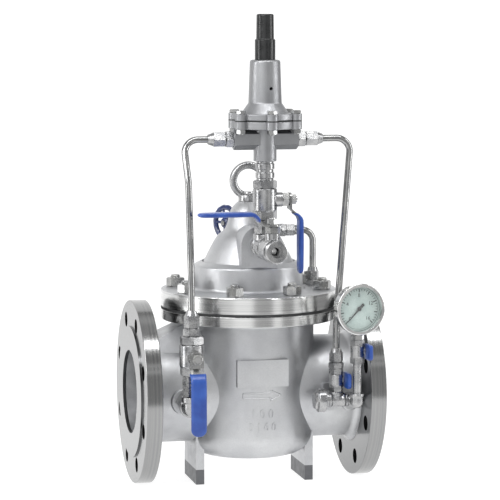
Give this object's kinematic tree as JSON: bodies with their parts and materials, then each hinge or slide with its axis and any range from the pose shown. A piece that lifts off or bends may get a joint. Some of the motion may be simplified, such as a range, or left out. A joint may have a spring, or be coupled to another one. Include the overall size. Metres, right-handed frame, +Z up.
{
  "type": "pressure reducing valve",
  "caption": "Flanged pilot-operated pressure reducing valve with a bell cover, pilot, lever cocks, bent tubes, gauge and feet.",
  "frame": {"origin": "centre of the inlet flange's bolt circle, on the flange face behind the raised face", "axes": "+X is the flow direction to the outlet flange, +Z is up along the bonnet, -Y is the side of the pilot and gauge"},
  "size_m": [0.292, 0.2676, 0.573],
  "materials": {
    "cast_stainless": "bead-blasted investment casting",
    "fitting_stainless": "tumbled casting",
    "machined_stainless": "turned",
    "tube_stainless": "drawn and polished",
    "spring_steel": "drawn wire",
    "ball_chrome": "polished",
    "polished_stainless": "polished",
    "diaphragm_rubber": "matt",
    "blue_vinyl": "dipped",
    "blue_enamel": "enamelled",
    "black_plastic": "moulded",
    "gauge_glass": "clear",
    "dial_enamel": "matt print",
    "pointer_black": "matt"
  },
  "bodies": {
    "valve_body": {"adjusting_locknut": "machined_stainless", "bleed_tube": "tube_stainless", "chamber_tee": "fitting_stainless", "cock_end_caps": "fitting_stainless", "cock_gland_nuts": "machined_stainless", "cover": "cast_stainless", "cover_fasteners": "machined_stainless", "feet": "cast_stainless", "gauge_bezel": "polished_stainless", "gauge_case": "polished_stainless", "gauge_cock_body": "fitting_stainless", "gauge_dial": "dial_enamel", "gauge_lens": "gauge_glass", "inlet_cock_body": "fitting_stainless", "inlet_tube": "tube_stainless", "lifting_eye": "machined_stainless", "main_body": "cast_stainless", "main_diaphragm": "diaphragm_rubber", "main_spring": "spring_steel", "needle_valve_body": "fitting_stainless", "outlet_cross": "fitting_stainless", "outlet_tube": "tube_stainless", "pilot_body": "cast_stainless", "pilot_bolts": "machined_stainless", "pilot_cock_body": "fitting_stainless", "pilot_diaphragm": "diaphragm_rubber", "pilot_spring": "spring_steel", "pilot_spring_housing": "cast_stainless", "pipe_elbows": "fitting_stainless", "pipe_nipples": "fitting_stainless", "return_cock_body": "fitting_stainless", "seat_ring": "machined_stainless", "tube_fittings": "fitting_stainless", "vent_cock_body": "fitting_stainless"},
    "main_trim": {"main_stem": "machined_stainless", "valve_disc": "diaphragm_rubber", "disc_holder": "machined_stainless", "diaphragm_plate": "machined_stainless", "stem_nut": "machined_stainless"},
    "pilot_plunger": {"pilot_plunger": "machined_stainless"},
    "spring_button": {"pilot_spring_button": "machined_stainless"},
    "adjusting_screw": {"adjusting_screw": "machined_stainless"},
    "adjusting_cap": {"adjusting_cap": "black_plastic"},
    "inlet_cock": {"inlet_cock_ball": "ball_chrome", "inlet_cock_lever": "machined_stainless", "inlet_cock_grip": "blue_vinyl"},
    "pilot_cock": {"pilot_cock_ball": "ball_chrome", "pilot_cock_lever": "machined_stainless", "pilot_cock_grip": "blue_vinyl"},
    "vent_cock": {"vent_cock_ball": "ball_chrome", "vent_cock_lever": "machined_stainless", "vent_cock_grip": "blue_vinyl"},
    "gauge_cock": {"gauge_cock_ball": "ball_chrome", "gauge_cock_handle": "blue_vinyl"},
    "return_cock": {"return_cock_ball": "ball_chrome", "return_cock_handle": "blue_vinyl"},
    "needle": {"needle_tip": "machined_stainless"},
    "handwheel": {"needle_stem": "machined_stainless", "handwheel": "blue_enamel"},
    "pointer": {"gauge_pointer": "pointer_black"}
  },
  "joints": [
    {"name": "main_trim_lift", "type": "slide", "parent": "valve_body", "child": "main_trim", "axis": [0, 0, 1], "range_m": [0, 0.025], "stiffness_N_per_m": 2000, "springref_m": -0.02, "deforming": ["main_diaphragm", "main_spring"]},
    {"name": "pilot_plunger_lift", "type": "slide", "parent": "valve_body", "child": "pilot_plunger", "axis": [0, 0, -1], "range_m": [0, 0.0025], "stiffness_N_per_m": 2000, "springref_m": -0.001, "deforming": ["pilot_diaphragm", "pilot_spring"]},
    {"name": "screw_advance", "type": "slide", "parent": "valve_body", "child": "spring_button", "axis": [0, 0, -1], "range_m": [0, 0.0045]},
    {"name": "screw_turn", "type": "hinge", "parent": "spring_button", "child": "adjusting_screw", "pos_m": [0.144, -0.09, 0.399], "axis": [0, 0, -1], "range_deg": [0, 1080]},
    {"name": "cap_lift", "type": "slide", "parent": "valve_body", "child": "adjusting_cap", "axis": [0, 0, 1], "range_m": [0, 0.06]},
    {"name": "inlet_cock_turn", "type": "hinge", "parent": "valve_body", "child": "inlet_cock", "pos_m": [0.052, -0.112, 0.058], "axis": [0, -1, 0], "range_deg": [0, 90]},
    {"name": "pilot_cock_turn", "type": "hinge", "parent": "valve_body", "child": "pilot_cock", "pos_m": [0.144, -0.09, 0.236], "axis": [-1, 0, 0], "range_deg": [0, 90]},
    {"name": "vent_cock_turn", "type": "hinge", "parent": "valve_body", "child": "vent_cock", "pos_m": [0.144, -0.129, 0.18], "axis": [0, 0, 1], "range_deg": [0, 90]},
    {"name": "gauge_cock_turn", "type": "hinge", "parent": "valve_body", "child": "gauge_cock", "pos_m": [0.2515, -0.108, 0.056], "axis": [1, 0, 0], "range_deg": [0, 90]},
    {"name": "return_cock_turn", "type": "hinge", "parent": "valve_body", "child": "return_cock", "pos_m": [0.231, -0.088, 0.02], "axis": [-1, 0, 0], "range_deg": [0, 90]},
    {"name": "needle_advance", "type": "slide", "parent": "valve_body", "child": "needle", "axis": [-0.866, -0.5, 0], "range_m": [0, 0.002]},
    {"name": "handwheel_turn", "type": "hinge", "parent": "needle", "child": "handwheel", "pos_m": [0.154, 0.072, 0.196], "axis": [-0.866, -0.5, 0], "range_deg": [0, 720]},
    {"name": "pointer_turn", "type": "hinge", "parent": "valve_body", "child": "pointer", "pos_m": [0.2515, -0.108, 0.107], "axis": [-0.1564, 0.9877, 0], "range_deg": [0, 270], "stiffness_Nm_per_rad": 0.0005, "springref_deg": -17.19}
  ],
  "couplings": [
    {"joint": "screw_turn", "follows": "screw_advance", "rad_per_m": 4188.8},
    {"joint": "handwheel_turn", "follows": "needle_advance", "rad_per_m": 6283.2}
  ]
}
